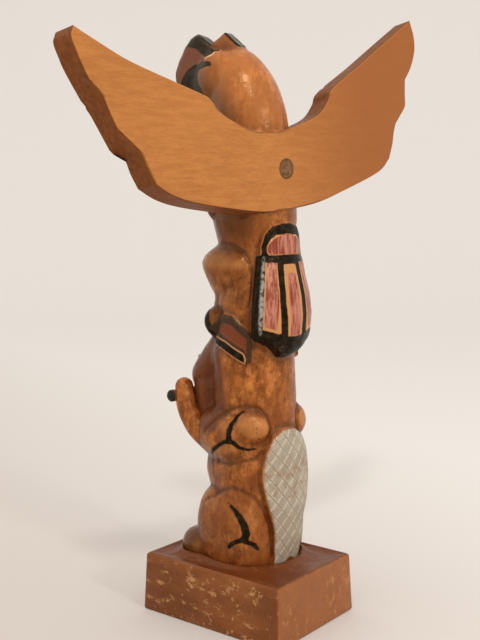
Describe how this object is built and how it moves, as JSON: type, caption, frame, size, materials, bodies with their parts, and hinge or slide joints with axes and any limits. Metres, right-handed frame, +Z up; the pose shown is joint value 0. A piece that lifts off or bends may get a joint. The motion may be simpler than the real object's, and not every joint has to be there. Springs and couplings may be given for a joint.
{
  "type": "totem pole model",
  "caption": "Carved wooden totem pole model: a bird with spread wings above a seated beaver that holds a stick, on a rectangular block.",
  "frame": {"origin": "middle of the block's underside", "axes": "+Z up along the pole, the figures look towards -Y, +X is the figures' left-hand side"},
  "size_m": [0.2321, 0.0908, 0.3195],
  "materials": {
    "carved_wood": "reddish-brown stained and waxed wood with painted black, red and grey-white areas, satin",
    "board_wood": "plain warm brown wood, smoother and paler than the pole, satin",
    "peg_wood": "grey-brown end grain, matt"
  },
  "bodies": {
    "root": {"carved_pole": "carved_wood", "wing_board": "board_wood", "wing_peg": "peg_wood"}
  },
  "joints": []
}
